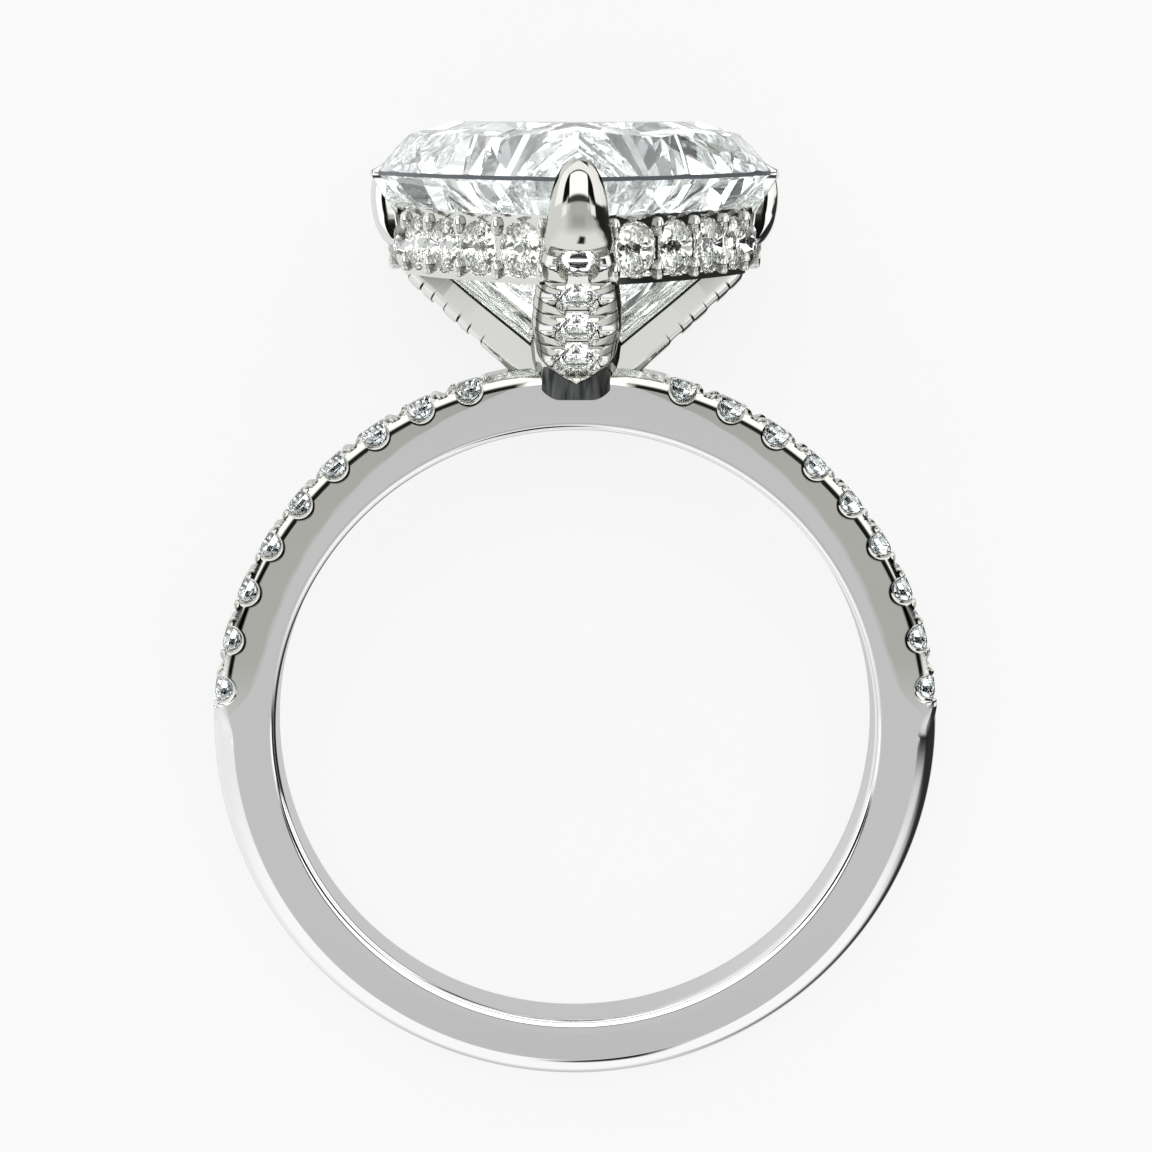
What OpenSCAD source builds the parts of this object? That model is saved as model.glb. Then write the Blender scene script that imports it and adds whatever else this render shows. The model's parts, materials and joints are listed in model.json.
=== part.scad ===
// Engagement ring: a heart-shaped brilliant, point to the front, over a hidden halo and five pave
// prongs, on a slim shank with nine small brilliants on each shoulder. It lies on its side.
//
// Every piece is drawn standing, with X across the finger, Y along it and Z up through the big
// stone, and the ring's centre at zero. The module laid() then turns it onto its side, so that it
// rests on the two claws of the heart's lobes and on the far rim of the shank.

/* [Shank] */
// Radius of the finger hole
bore_r = 8.25; // [8.2:0.01:8.3]
// Width of the shank along the finger
shank_w = 1.8; // [1.75:0.01:1.85]
// Radius to the crest of the rounded outside
crest_r = 10.0; // [9.98:0.01:10.02]
// Radius where the flat side faces of the plain half end
face_r = 9.4; // [9.35:0.01:9.45]
// Radius where the side faces end beside the small stones
rail_r = 9.6; // [9.56:0.01:9.64]
// Half-width of the flat top between the two bevels of the shoulders
rail_top = 0.6; // [0.56:0.01:0.64]
// Rounding of the finger hole's two edges
bore_edge = 0.12; // [0.1:0.01:0.14]

/* [Shoulder stones] */
// Small brilliants on each shoulder
side_stones = 9; // [7:1:9]
// Angle of the first one from the top of the ring
first_angle = 17.24; // [16.8:0.1:17.6]
// Angle from one to the next
stone_step = 8.27; // [8.2:0.01:8.3]
// Diameter of a shoulder brilliant
side_d = 1.15; // [1.1:0.01:1.17]
// Radius of the open scallop beside each of them
scallop_r = 0.44; // [0.4:0.01:0.46]

/* [Heart stone] */
// Half of the heart's width at the girdle
heart_half = 5.45; // [5.4:0.01:5.5]
// Radius of the two round lobes
lobe_r = 3.0; // [2.95:0.01:3.05]
// Radius of the two long flanks
flank_r = 13.66; // [13.6:0.01:13.7]
// How far the point of the heart stands in front of the finger's middle plane
tip_out = 6.22; // [6.2:0.01:6.26]
// Height of the top of the girdle over the ring's centre
girdle_z = 15.19; // [15.15:0.01:15.22]
// Thickness of the girdle
girdle_t = 0.13; // [0.11:0.01:0.15]
// Height of the crown over the girdle
crown_h = 1.32; // [1.28:0.01:1.36]
// Depth of the pavilion under the girdle
pavilion_h = 4.6; // [4.5:0.01:4.62]
// Slope of the crown's main facets
crown_slope = 45; // [44:0.5:46]

/* [Hidden halo] */
// Height of the halo band's lower edge
band_low = 12.42; // [12.4:0.01:12.46]
// Height of the band's upper edge
band_high = 14.2; // [14.16:0.01:14.22]
// How far the band stands in from the girdle
band_in = 0.45; // [0.43:0.01:0.47]
// Wall thickness of the band
band_t = 0.45; // [0.42:0.01:0.48]
// Diameter of a halo brilliant
halo_d = 1.43; // [1.38:0.01:1.45]
// Distance from one halo brilliant to the next
halo_pitch = 1.63; // [1.62:0.01:1.65]

/* [Prongs] */
// Angle of the two side prongs from the front one
side_prong = 110; // [109:0.5:111]
// Angle of the two lobe prongs from the front one
lobe_prong = 150; // [149:0.5:151]
// Slope of a prong's outer line under the stones
prong_slope = 39; // [38.5:0.5:39.5]
// Radius of the bend from that slope to the claw
prong_bend = 2.6; // [2.5:0.05:2.7]
// Height of the claw tips
claw_z = 15.65; // [15.6:0.01:15.68]
// How far a bead stands over the stones' tables
bead_h = 0.15; // [0.13:0.01:0.16]
// Diameter of the lowest brilliant of a prong
prong_d = 1.24; // [1.2:0.01:1.26]
// Diameter of the highest one
prong_d_top = 1.06; // [1.0:0.01:1.1]

/* [Hidden] */
$fn = 48;
// Play between a stone and the metal round it
gap = 0.02;
// Longer than anything here
far = 40;

// Round brilliant, as parts of its diameter: table, crown height, girdle, and the rings of corners
// where the stars and the pavilion's lower facets end
table_part = 0.56;
crown_part = 0.15;
belt_part = 0.02;
star_part = 0.39;
low_part = 0.1;
// Tangent of its pavilion's slope
cone = 0.86;

// Plan of the heart: two flank arcs that meet at the point, and two lobe arcs that they run into.
// Directions are those in which the right-hand outline faces.
flank_x = -7.79;
flank_y = -tip_out + sqrt(flank_r * flank_r - flank_x * flank_x);
lobe_x = heart_half - lobe_r;
lobe_y = flank_y - sqrt(pow(flank_r - lobe_r, 2) - pow(lobe_x - flank_x, 2));
tip_dir = atan2(-tip_out - flank_y, -flank_x);
join_dir = atan2(lobe_y - flank_y, lobe_x - flank_x);
notch_dir = 180 - acos(lobe_x / lobe_r);

function outline_r(dir) = dir < join_dir ? flank_r : lobe_r;
function outline_c(dir) = dir < join_dir ? [flank_x, flank_y] : [lobe_x, lobe_y];
function edge_pt(dir, inset) = outline_c(dir) + (outline_r(dir) - inset) * [cos(dir), sin(dir)];

// Facets of the heart's right half, by the direction that each of them faces
mains = [-47, -31, -12, 22, 62, 100, 136];
pairs = [for (i = [0:len(mains) - 2]) [mains[i], mains[i + 1]]];
halves = concat(
    [(tip_dir + mains[0]) / 2],
    [for (g = pairs, part = [0.25, 0.75]) g[0] + (g[1] - g[0]) * part],
    [(mains[len(mains) - 1] + notch_dir) / 2]
);
stars = [for (g = pairs) (g[0] + g[1]) / 2];
// Facets that face further round than this belong to the notch, and are steeper
notch_from = 120;
notch_slope = 50;
star_slope = 16;
// How much steeper the crown's small facets at the girdle are than its main ones
half_more = 5;
star_in = 1.96;
culet = [0, 0.1, girdle_z - girdle_t - pavilion_h];

// Slope of a pavilion facet that runs from the girdle, where it faces dir, to the culet
function main_slope(dir) = let (p = edge_pt(dir, 0), n = [cos(dir), sin(dir)])
    atan(pavilion_h / ((p - [culet[0], culet[1]]) * n));

// Halo stones on the right half: five on the flank, two on the lobe, with beads between them
halo_z = (band_low + band_high) / 2;
halo_first = -45.3;
halo_step = halo_pitch / (flank_r - band_in) * 180 / PI;
halo_dirs = concat([for (i = [0:4]) halo_first + i * halo_step], [49.5, 122]);
bead_dirs = concat([for (i = [0:4]) halo_first + (i - 0.5) * halo_step], [-12.5, 31, 65, 103, 141]);
bead_r = 0.15;
bead_rise = 0.5;

// Prongs: the outer line passes through outer_pt, the inner one through inner_pt, each given as
// distance from the middle and height. The row of stones lies back from the claw by row_back.
outer_pt = [3.5, 11.16];
inner_pt = [1.04, 10.78];
inner_rise = 0.63;
row_back = 0.58;
prong_foot = 2.0;
prong_low = 9.75;
prong_half = 0.75;
steps = 8;

// Claw: how far it stands out from the girdle, where it starts, its heel as distance from its own
// face and height, its rounding in plan, and the depth and height of its rounded tip
claw_out = 0.13;
claw_low = 13.42;
claw_heel = [[-0.22, 13.5], [-0.1, 13.85], [-0.02, 14.2], [0, 14.4]];
claw_r = 0.85;
tip_deep = 0.5;
tip_high = 0.85;
taper_from = 14.4;
// How far the tip reaches in over the girdle
tip_over = 0.45;

// Stones of a prong: distance of the lowest from the middle, how many, and the pitch
front_row = [2.22, 4, 1.42];
side_row = [2.72, 3, 1.37];
lobe_row = [2.3, 4, 1.38];
prong_turns = [0, -side_prong, side_prong, -lobe_prong, lobe_prong];
function row_of(turn) = turn == 0 ? front_row : abs(turn) == side_prong ? side_row : lobe_row;
function row_d(turn, i) = prong_d + (prong_d_top - prong_d) * i / (row_of(turn)[1] - 1);

// Distance of a claw's face from the middle
function claw_reach(turn) = claw_out + (
    turn == 0 ? tip_out :
    let (d = [sin(turn), -cos(turn)], c = [turn > 0 ? lobe_x : -lobe_x, lobe_y], m = d * c)
    m + sqrt(m * m - c * c + lobe_r * lobe_r));

// Outer line under a claw at distance ra: a straight rise, then a bend that ends upright.
// line_pt gives distance, height and slope at the length s from distance r.
function bend_end(ra) = ra - row_back - prong_bend * (1 - sin(prong_slope));
function line_z(r) = outer_pt[1] + tan(prong_slope) * (r - outer_pt[0]);
function bend_z(ra) = line_z(bend_end(ra)) + prong_bend * cos(prong_slope);
function bend_pt(ra, a) = [ra - row_back - prong_bend * (1 - sin(a)), bend_z(ra) - prong_bend * cos(a), a];
function straight_len(ra, r) = (bend_end(ra) - r) / cos(prong_slope);
function line_pt(ra, r, s) =
    s <= straight_len(ra, r)
    ? [r + s * cos(prong_slope), line_z(r + s * cos(prong_slope)), prong_slope]
    : bend_pt(ra, prong_slope + (s - straight_len(ra, r)) / prong_bend * 180 / PI);
// Points of that line from the foot up to the claw
function outer_line(ra) =
    let (last = acos((bend_z(ra) - claw_low) / prong_bend))
    concat(
        [[prong_foot, line_z(prong_foot)]],
        [for (i = [0:steps]) let (p = bend_pt(ra, prong_slope + (last - prong_slope) * i / steps)) [p[0], p[1]]]
    );

// Resting place: the lean that puts the heels of the lobe claws and the shank's far rim on one
// level. low_side and table_back are how far behind the middle the two ends of its length lie.
heel_z = 13.5;
heel_y = 5.212;
low_side = 0.09;
table_back = 2.975;
lean = atan((heel_y - shank_w / 2) / (heel_z + face_r));
low_end = crest_r * cos(lean) + low_side * sin(lean);
high_end = (girdle_z + crown_h) * cos(lean) + table_back * sin(lean);
rest_y = (low_end - high_end) / 2;
rest_z = face_r * sin(lean) + shank_w / 2 * cos(lean);

// Lays the standing ring on its side
module laid() translate([0, rest_y, rest_z]) rotate([lean - 90, 0, 0]) children();

// Turns a thing drawn on the top of the ring along the shank
module along(angle) rotate([0, angle, 0]) children();

// Heart outline moved in by inset
module heart_plan(inset) {
    flank = [for (i = [0:14]) edge_pt(tip_dir + (join_dir - tip_dir) * i / 15, inset)];
    lobe = [for (i = [0:30]) edge_pt(join_dir + (notch_dir - join_dir) * i / 30, inset)];
    right = [for (p = concat(flank, lobe)) if (p[0] > 0.001) p];
    low = -sqrt(pow(flank_r - inset, 2) - flank_x * flank_x) + flank_y;
    wide = lobe_r - inset;
    high = lobe_y + (wide > lobe_x ? sqrt(wide * wide - lobe_x * lobe_x) : 0);
    left = [for (i = [len(right) - 1:-1:0]) [-right[i][0], right[i][1]]];
    polygon(concat([[0, low]], right, [[0, high]], left));
}

// Section of the shank up to the outer radius given, with the finger hole's edges rounded
module inner_section(outer) {
    translate([bore_r + bore_edge, -shank_w / 2]) square([outer - bore_r - bore_edge, shank_w]);
    translate([bore_r, bore_edge - shank_w / 2]) square([bore_edge * 2, shank_w - 2 * bore_edge]);
    for (side = [-1, 1])
        translate([bore_r + bore_edge, side * (shank_w / 2 - bore_edge)]) circle(r = bore_edge);
}

// Rounded section of the plain half
module plain_section() {
    rise = crest_r - face_r;
    arc = (shank_w * shank_w / 4 + rise * rise) / (2 * rise);
    inner_section(face_r);
    intersection() {
        translate([crest_r - arc, 0]) circle(r = arc, $fn = 96);
        translate([face_r - 0.3, -shank_w / 2]) square([2, shank_w]);
    }
}

// Bevelled section of the shoulders
module rail_section() {
    bevel = shank_w / 2 - rail_top;
    inner_section(rail_r);
    polygon([
        [rail_r - 0.1, -shank_w / 2], [rail_r, -shank_w / 2], [rail_r + bevel, -rail_top],
        [crest_r, -rail_top / 4], [crest_r, rail_top / 4], [rail_r + bevel, rail_top],
        [rail_r, shank_w / 2], [rail_r - 0.1, shank_w / 2]
    ]);
}

// Shoulder section above this height over the ring's centre, plain section all the way round
module shank() {
    shoulder_end = 0.15;
    rotate([90, 0, 0]) rotate_extrude($fn = 180) plain_section();
    intersection() {
        rotate([90, 0, 0]) rotate_extrude($fn = 180) rail_section();
        translate([-far / 2, -far / 2, shoulder_end]) cube(far);
    }
}

// Block with round corners over the shank, in which all five prongs meet
module hub() {
    half = 0.88;
    round = 0.45;
    deep = 1.42;
    low = 9.15;
    high = 10.0;
    corner = [half - round, deep - round];
    outline = [for (q = [0:3], i = [0:4])
        let (a = 90 * q + 22.5 * i, sx = q == 0 || q == 3 ? 1 : -1, sy = q < 2 ? 1 : -1)
        [sx * corner[0] + round * cos(a), sy * corner[1] + round * sin(a)]];
    translate([0, 0, low]) linear_extrude(height = high - low) polygon(outline);
}

// Side outline of a prong whose claw's face is at distance ra
module prong_side(ra) {
    rg = ra - claw_out;
    inner_r = rg - band_in - band_t;
    floor_r = 4.1;
    polygon(concat(
        [[0, prong_low], [prong_foot - 0.4, prong_low]],
        outer_line(ra),
        [for (h = claw_heel) [ra + h[0], h[1]]],
        [for (i = [0:steps]) let (a = 90 * i / steps)
            [ra - tip_deep * (1 - cos(a)), claw_z - tip_high * (1 - sin(a))]],
        [[rg - tip_over, claw_z - 0.02], [rg - tip_over, girdle_z], [inner_r, girdle_z - 1]],
        [[inner_r, band_low + 0.4], [floor_r, band_low + 0.1]],
        [for (r = [floor_r, 0]) [r, inner_pt[1] + inner_rise * (r - inner_pt[0])]]
    ));
}

// Front outline of a prong: widest a little over the hub, and a rounded claw at the top
module prong_front() {
    widths = [[prong_low, 0.95], [10, 1.05], [10.8, 1.19], [taper_from, prong_half]];
    right = concat(
        [for (w = widths) [w[1], w[0]]],
        [for (i = [1:steps]) let (u = i / steps)
            [prong_half * (1 - u * u), taper_from + (claw_z - taper_from) * u]]
    );
    left = [for (i = [len(right) - 2:-1:0]) [-right[i][0], right[i][1]]];
    polygon(concat(right, left));
}

// Draws a side outline as a slab across a prong
module across(width) rotate([90, 0, -90]) linear_extrude(height = width, center = true) children();

module prong_blade(turn) {
    ra = claw_reach(turn);
    rotate([0, 0, turn]) difference() {
        intersection() {
            across(3) prong_side(ra);
            rotate([90, 0, 0]) linear_extrude(height = far / 2) prong_front();
        }
        difference() {
            translate([-2, -ra - 1, claw_low]) cube([4, claw_r + 1, 3]);
            translate([0, claw_r - ra, 0]) cylinder(r = claw_r, h = far);
        }
    }
}

// Tool that cuts the halo band back to the face of a prong's row of stones
module band_trim(turn) {
    line = outer_line(claw_reach(turn));
    rotate([0, 0, turn]) across(1.8) polygon(concat(line, [[8, claw_low], [8, line[0][1]]]));
}

// Puts a thing drawn pointing up at place i of a prong's row, so that it points out of the prong
module on_prong(turn, i) {
    row = row_of(turn);
    p = line_pt(claw_reach(turn), row[0], i * row[2]);
    rotate([0, 0, turn]) translate([0, -p[0], p[1]]) rotate([180 - p[2], 0, 0]) children();
}

// Tool for the seat of a brilliant of diameter d whose girdle is at zero: room above, a cone
// below, and a hole through the metal behind it
module seat(d, hole_r, hole_len) {
    r = d / 2 + gap;
    low = -(belt_part * d + gap);
    rotate_extrude($fn = 32) polygon([
        [0, -hole_len], [hole_r, -hole_len], [hole_r, low - (r - hole_r) * cone],
        [r, low], [r, 0.8], [0, 0.8]
    ]);
}

// Tool that opens a prong for its row of stones: a seat and a window at both sides for each, and
// between them a cut that leaves a pair of beads at each side, with a groove between the two
module prong_cuts(turn) {
    count = row_of(turn)[1];
    for (i = [0:count - 1]) on_prong(turn, i) {
        d = row_d(turn, i);
        translate([0, 0, -bead_h - crown_part * d]) seat(d, 0.24, 1.6);
        translate([0, 0, -bead_h]) rotate([0, 90, 0])
            cylinder(r = d * 0.23, h = 3, center = true, $fn = 32);
    }
    for (i = [0:count - 2]) on_prong(turn, i + 0.5) {
        translate([-0.3, -0.3, -0.3]) cube(0.6);
        rotate([0, 90, 0]) cylinder(r = 0.1, h = 3, center = true, $fn = 24);
    }
}

// Tool that opens the shank for the shoulder stones on one side: a seat and a scallop for each,
// and between them a cut that leaves a bead at each side, with a pit below each bead
module shoulder_cuts(side) {
    seat_r = crest_r - crown_part * side_d - 0.01;
    for (i = [0:side_stones - 1]) along(side * (first_angle + i * stone_step)) {
        translate([0, 0, seat_r]) seat(side_d, 0.26, 1.7);
        translate([0, 0, seat_r + 0.02]) rotate([90, 0, 0])
            cylinder(r = scallop_r, h = 3, center = true, $fn = 32);
    }
    for (i = [0:side_stones - 2]) along(side * (first_angle + (i + 0.5) * stone_step)) {
        translate([-0.25, -0.3, crest_r - 0.24]) cube([0.5, 0.6, 0.6]);
        for (end = [-1, 1]) translate([0, end * 1.2, crest_r - 0.32]) rotate([90, 0, 0])
            cylinder(r = 0.15, h = 1.1, center = true, $fn = 24);
    }
}

// Puts a thing drawn pointing up onto the halo band, pointing out
module on_band(dir, z) {
    p = edge_pt(dir, band_in);
    translate([p[0], p[1], z]) rotate([0, 90, dir]) children();
}

module halo_band() {
    difference() {
        translate([0, 0, band_low]) linear_extrude(height = band_high - band_low) difference() {
            heart_plan(band_in);
            heart_plan(band_in + band_t);
        }
        for (turn = prong_turns) band_trim(turn);
    }
    for (side = [0, 1], dir = bead_dirs, rise = [-bead_rise, bead_rise])
        mirror([side, 0, 0]) on_band(dir, halo_z + rise) sphere(r = bead_r, $fn = 24);
}

module halo_cuts()
    for (side = [0, 1], dir = halo_dirs) mirror([side, 0, 0]) on_band(dir, halo_z) seat(halo_d, 0.3, 0.9);

// The polished metal: shank, hub, prongs and halo band are soldered into one solid
module metal() color("gainsboro") difference() {
    union() {
        shank();
        hub();
        for (turn = prong_turns) prong_blade(turn);
        halo_band();
    }
    heart_pair(gap);
    halo_cuts();
    for (side = [-1, 1]) shoulder_cuts(side);
    for (turn = prong_turns) prong_cuts(turn);
}

// Round brilliant with its girdle's top at zero: table, 8 stars, 8 kites, 16 upper facets,
// 16 girdle flats, 16 lower facets and 8 pavilion mains, each of them flat
module brilliant(d) {
    r = d / 2;
    rise = crown_part * d / (r - table_part * r);
    belt = belt_part * d;
    function ring(n, turn, rad, z) = [for (i = [0:n - 1])
        let (a = turn + i * 360 / n) [rad * cos(a), rad * sin(a), z]];
    star_z = (r - star_part * d * cos(22.5)) * rise;
    low_z = -belt - (r - low_part * d * cos(22.5)) * cone;
    points = concat(
        ring(8, 0, table_part * r, crown_part * d),
        ring(8, 22.5, star_part * d, star_z),
        ring(16, 0, r, 0),
        ring(16, 0, r, -belt),
        ring(8, 22.5, low_part * d, low_z),
        [[0, 0, -belt - r * cone]]
    );
    faces = concat(
        [[for (i = [7:-1:0]) i]],
        [for (i = [0:7]) let (j = (i + 1) % 8) [i, j, 8 + i]],
        [for (i = [0:7]) let (h = (i + 7) % 8) [i, 8 + i, 16 + 2 * i, 8 + h]],
        [for (i = [0:7]) [8 + i, 16 + 2 * i + 1, 16 + 2 * i]],
        [for (i = [0:7]) [8 + i, 16 + (2 * i + 2) % 16, 16 + 2 * i + 1]],
        [for (i = [0:15]) let (j = (i + 1) % 16) [16 + i, 16 + j, 32 + j, 32 + i]],
        [for (i = [0:7]) [48 + i, 32 + 2 * i, 32 + 2 * i + 1]],
        [for (i = [0:7]) [48 + i, 32 + 2 * i + 1, 32 + (2 * i + 2) % 16]],
        [for (i = [0:7]) let (h = (i + 7) % 8) [56, 48 + h, 32 + 2 * i, 48 + i]]
    );
    polyhedron(points, faces);
}

module stone_colour() color([0.86, 0.92, 0.96]) children();

module shoulder_stone(side, i) stone_colour()
    along(side * (first_angle + (i - 1) * stone_step))
    translate([0, 0, crest_r - crown_part * side_d - 0.01]) brilliant(side_d);

module prong_stone(turn, i) stone_colour() on_prong(turn, i - 1) {
    d = row_d(turn, i - 1);
    translate([0, 0, -bead_h - crown_part * d]) brilliant(d);
}

module halo_stones() stone_colour()
    for (side = [0, 1], dir = halo_dirs) mirror([side, 0, 0]) on_band(dir, halo_z) brilliant(halo_d);

// Everything on the inner side of the plane through p whose outward direction is dir in plan,
// leaning from upright by slope
module inside(p, dir, slope) translate(p) rotate([0, 0, dir]) rotate([0, slope, 0])
    translate([-far, -far, -2 * far]) cube(2 * far);

// A crown and a pavilion facet over the same stretch of girdle, moved out by grow
module facet_pair(dir, grow, crown, pavilion) {
    p = edge_pt(dir, -grow);
    intersection() {
        inside([p[0], p[1], girdle_z + grow], dir, crown);
        inside([p[0], p[1], girdle_z - girdle_t - grow], dir, 180 - pavilion);
    }
}

// Crown facet beside the table
module star_facet(dir, grow) {
    p = edge_pt(dir, star_in);
    inside([p[0], p[1], girdle_z + crown_h - 0.04 + grow], dir, star_slope);
}

// Right half of the heart, moved out by grow: every facet is one plane
module heart_half_stone(grow) intersection() {
    translate([0, 0, culet[2] - 1]) linear_extrude(height = pavilion_h + girdle_t + crown_h + 1 + grow)
        heart_plan(-grow);
    translate([-0.004, -far / 2, 0]) cube(far);
    intersection_for (dir = mains)
        facet_pair(dir, grow, dir > notch_from ? notch_slope : crown_slope, main_slope(dir));
    intersection_for (dir = halves)
        facet_pair(dir, grow - 0.01, (dir > notch_from ? notch_slope : crown_slope) + half_more,
            main_slope(dir) + 3);
    intersection_for (dir = stars) star_facet(dir, grow);
}

module heart_pair(grow) {
    heart_half_stone(grow);
    mirror([1, 0, 0]) heart_half_stone(grow);
}

module heart_stone() stone_colour() heart_pair(0);

laid() metal();
laid() heart_stone();
laid() halo_stones();
for (i = [1:side_stones]) {
    laid() shoulder_stone(-1, i);
    laid() shoulder_stone(1, i);
}
for (i = [1:front_row[1]])
    laid() prong_stone(0, i);
for (i = [1:side_row[1]]) {
    laid() prong_stone(-side_prong, i);
    laid() prong_stone(side_prong, i);
}
for (i = [1:lobe_row[1]]) {
    laid() prong_stone(-lobe_prong, i);
    laid() prong_stone(lobe_prong, i);
}
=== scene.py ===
import json
import math

import bmesh
import bpy
import numpy as np
from mathutils import Matrix, Vector


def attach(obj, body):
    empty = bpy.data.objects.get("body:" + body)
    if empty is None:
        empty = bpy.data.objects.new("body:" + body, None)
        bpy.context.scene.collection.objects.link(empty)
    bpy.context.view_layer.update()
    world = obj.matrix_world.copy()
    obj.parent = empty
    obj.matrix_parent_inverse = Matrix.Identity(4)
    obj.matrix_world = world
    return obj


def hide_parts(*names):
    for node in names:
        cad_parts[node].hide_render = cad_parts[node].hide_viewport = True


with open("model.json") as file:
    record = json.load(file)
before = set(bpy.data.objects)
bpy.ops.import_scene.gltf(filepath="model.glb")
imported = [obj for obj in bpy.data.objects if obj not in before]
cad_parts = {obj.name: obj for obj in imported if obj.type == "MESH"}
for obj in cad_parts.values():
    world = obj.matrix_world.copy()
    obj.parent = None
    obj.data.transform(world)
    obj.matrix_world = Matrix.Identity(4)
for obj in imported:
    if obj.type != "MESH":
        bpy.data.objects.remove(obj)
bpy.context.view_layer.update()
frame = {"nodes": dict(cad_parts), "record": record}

# Shank. Slim polished white gold, cast and turned: the plain half is domed outside, the shoulders
# are bevelled to a narrow top, and both edges of the finger hole are rounded for comfort. The
# setter has cut each shoulder open beside its small stones and thinned its side there by hand.

# The ring lies on its side, but is measured standing: millimetres from the middle of the finger
# hole, x across the ring, y along the finger and away from the eye, z up through the big stone. The
# record's mount says where that middle is and which way the finger runs.
hole = next(m for m in frame["record"]["mounts"] if m["name"] == "finger_hole")
ring_x = np.array([1.0, 0.0, 0.0])
ring_y = -np.array(hole["axis"], float)
ring_z = np.cross(ring_x, ring_y)
RING_AXES = np.array([ring_x, ring_y, ring_z])
RING_CENTRE = np.array(hole["pos_m"], float)


def laid(points):
    """Ring millimetres to row metres: the centre plus x, y and z along the ring's three axes."""
    return RING_CENTRE + np.asarray(points, float) @ RING_AXES * 0.001


def set_painted_shade(mesh, value):
    """Gives a mesh the attribute that says how dark it is painted as shade, as one value or as one
    for each of its points.
    """
    painted_shade = mesh.attributes.new("painted_shade", "FLOAT", "POINT")
    painted_shade.data.foreach_set("value", np.broadcast_to(value, len(mesh.vertices)).astype(np.float32))


def surface(name, grid, material, closed=(True, True), sharp=32, painted_shade=0.0):
    """Skin over a grid of ring points: each four neighbours make one face, and a direction that is
    closed joins its last line to its first. Points that fall together are merged. The last argument
    says how dark each point, or the whole piece, is painted as shade."""
    index = np.arange(grid.shape[0] * grid.shape[1]).reshape(grid.shape[:2])
    if closed[0]:
        index = np.vstack([index, index[:1]])
    if closed[1]:
        index = np.hstack([index, index[:, :1]])
    quads = np.stack([index[:-1, :-1], index[1:, :-1], index[1:, 1:], index[:-1, 1:]], -1)
    mesh = bpy.data.meshes.new(name)
    mesh.from_pydata(laid(grid.reshape(-1, 3)), [], quads.reshape(-1, 4).tolist())
    set_painted_shade(mesh, painted_shade)
    return finished(name, mesh, material, sharp)


def finished(name, mesh, material, sharp=32):
    """Puts a mesh in the scene as a piece: doubles merged, normals outwards, smooth but for edges
    that turn by more than sharp degrees."""
    work = bmesh.new()
    work.from_mesh(mesh)
    bmesh.ops.remove_doubles(work, verts=work.verts, dist=2e-7)
    bmesh.ops.recalc_face_normals(work, faces=work.faces)
    work.to_mesh(mesh)
    work.free()
    mesh.shade_smooth()
    mesh.set_sharp_from_angle(angle=math.radians(sharp))
    mesh.materials.append(material)
    piece = bpy.data.objects.new(name, mesh)
    bpy.context.scene.collection.objects.link(piece)
    return piece


def linear(code):
    """The linear colour of an sRGB hex value."""
    parts = [int(code[i:i + 2], 16) / 255 for i in (1, 3, 5)]
    return [c / 12.92 if c < 0.04045 else ((c + 0.055) / 1.055) ** 2.4 for c in parts] + [1.0]


def node(tree, kind, settings=None, links=None):
    """Adds a shader node, sets its attributes and sockets, and links sockets to given outputs."""
    made = tree.nodes.new("ShaderNode" + kind)
    for key, value in (settings or {}).items():
        if isinstance(key, int) or key in made.inputs and not hasattr(type(made), key):
            made.inputs[key].default_value = value
        else:
            setattr(made, key, value)
    for key, output in (links or {}).items():
        tree.links.new(output, made.inputs[key])
    return made


BORE = hole["dims"]["r_mm"]
ROUND_IN = 0.24  # rounding of the finger hole's edges
HALF_W = 0.9  # half the shank's width
CREST = 10.0  # the outside's highest line, from the hole's axis
FACE_END = 9.4  # outer edge of the side face on the plain half
RAIL_END = 9.6  # and on a shoulder
RAIL_KNEE = (0.8, 9.85)  # between the bevel's steep strip and its flatter one
RAIL_TOP = 0.6  # half the width of a shoulder's flat top
SHOULDER_END = (85.4, 91.5)  # turns between which a shoulder runs out into the plain dome
EASE_WIDE = 0.05  # eased edge between bevel and side face
EASE_DEEP = 0.045

# Stones of a shoulder: turn of the first one and step to the next, in degrees from the head.
STONES = 9
FIRST_ANGLE = 17.24
STONE_STEP = 8.27
STONE_D = 1.15
GIRDLE_R = 9.82  # their widest line, from the hole's axis
HALF_PITCH = 0.72  # half the way from one stone to the next
BEAD_AT = 0.43  # top of a bead, from a stone's axis
SADDLE = 0.17  # dip between the beads of two stones
SCALLOP = (0.31, 0.43)  # radius of the open scallop at the top, and at the side face
FLARE = (0.66, 0.24)  # where it starts to widen, from the middle line, and over how far
SEAT_PLAY, SEAT_LOW, SEAT_SLOPE = 0.01, 0.04, 0.95  # room round a girdle, and under it; slope
GROOVE_DEEP = 0.12  # groove along the middle line, between the two beads of a pair
PIT_LONG, PIT_WIDE = 0.28, 0.125  # half-sizes of the pit under a pair of beads
PIT_SIDE = 0.69  # its distance from the middle line
PIT_TOP, PIT_DEEP = 9.9, 0.3  # its rim, from the hole's axis, and its depth

# Hand finish and painted shade. Outside the radius THIN_R, which changes with the turn, the
# setter's file has thinned the side face by a lean of half a degree, and there the face is also
# painted a duller grey, painted shade for its darker reflection. Further out from the middle line
# than the line's start below, a black line of painted shade runs along the shoulder's edge.
THIN_TURN = [0, 7.1, 12.5, 19.6, 27.4, 36.1, 46.1, 55.3, 65.5, 75.2, 82.7, 87.4, 89.5, 90.2, 180]
THIN_R = [9.9, 9.68, 9.45, 9.28, 9.14, 9.0, 8.87, 8.79, 8.71, 8.7, 8.86, 9.22, 9.93, 10.2, 10.2]
THIN_LEAN = math.tan(math.radians(0.5))
# The thinned zone's painted shade fades out between these turns.
SHADE_FADE = (77, 91)  # turns between which the filed finish fades out
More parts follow.
